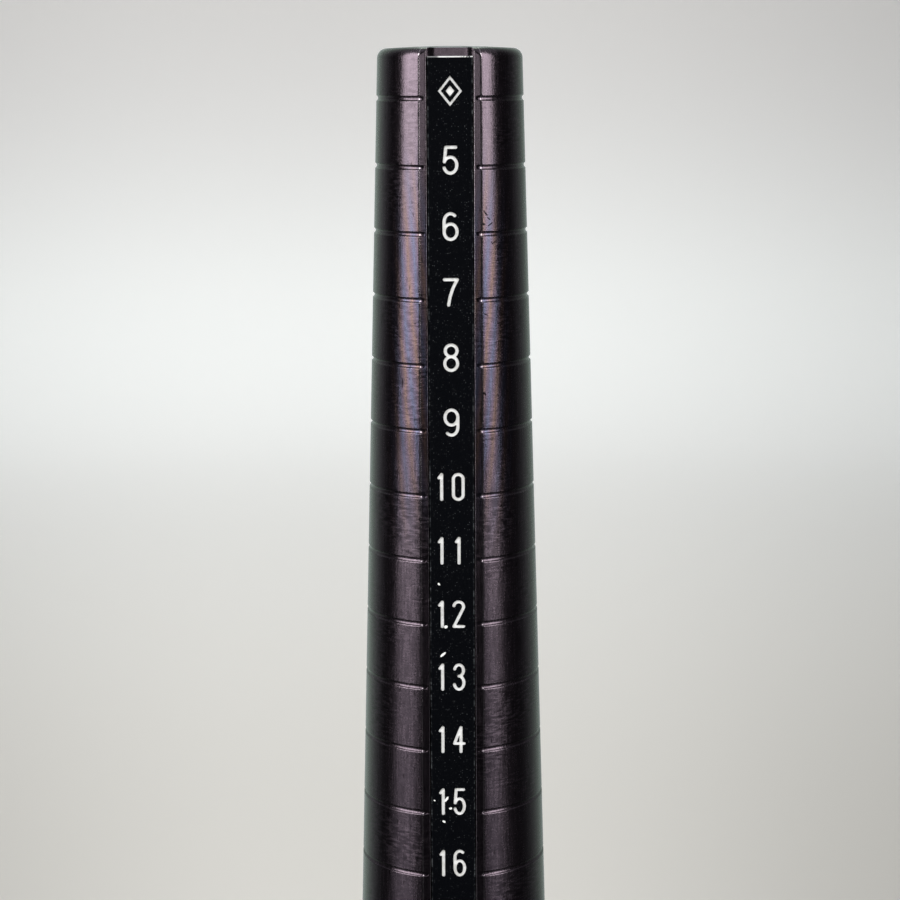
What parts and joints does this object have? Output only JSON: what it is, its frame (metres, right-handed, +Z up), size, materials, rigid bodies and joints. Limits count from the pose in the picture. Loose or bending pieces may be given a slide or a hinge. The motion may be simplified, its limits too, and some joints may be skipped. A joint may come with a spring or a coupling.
{
  "type": "ring mandrel",
  "caption": "Tapered ring size stick with turned size grooves and an engraved index strip, standing on a round grip with a flat foot.",
  "frame": {"origin": "centre of the foot pad's lower face, on which the stick stands", "axes": "+Z up along the mandrel's axis towards its narrow end, -Y out of the index strip, +X to the right of its numbers"},
  "size_m": [0.029, 0.029, 0.2724],
  "materials": {
    "dark_anodised": "dyed anodised, satin",
    "grip_anodised": "dyed anodised, knurled",
    "satin_aluminium": "turned, satin",
    "adhesive_film": "acrylic film",
    "white_laminate": "engraved",
    "black_laminate": "matte",
    "zinc_steel": "zinc plated",
    "ground_steel": "ground",
    "black_rubber": "matte"
  },
  "bodies": {
    "root": {"barrel": "dark_anodised", "strip_adhesive": "adhesive_film", "strip_core": "white_laminate", "strip_face": "black_laminate", "collar": "satin_aluminium", "grip": "grip_anodised", "clamp_screw": "zinc_steel", "screw_washer": "zinc_steel", "index_pin": "ground_steel", "foot_plug": "satin_aluminium", "foot_pad": "black_rubber"}
  },
  "joints": []
}
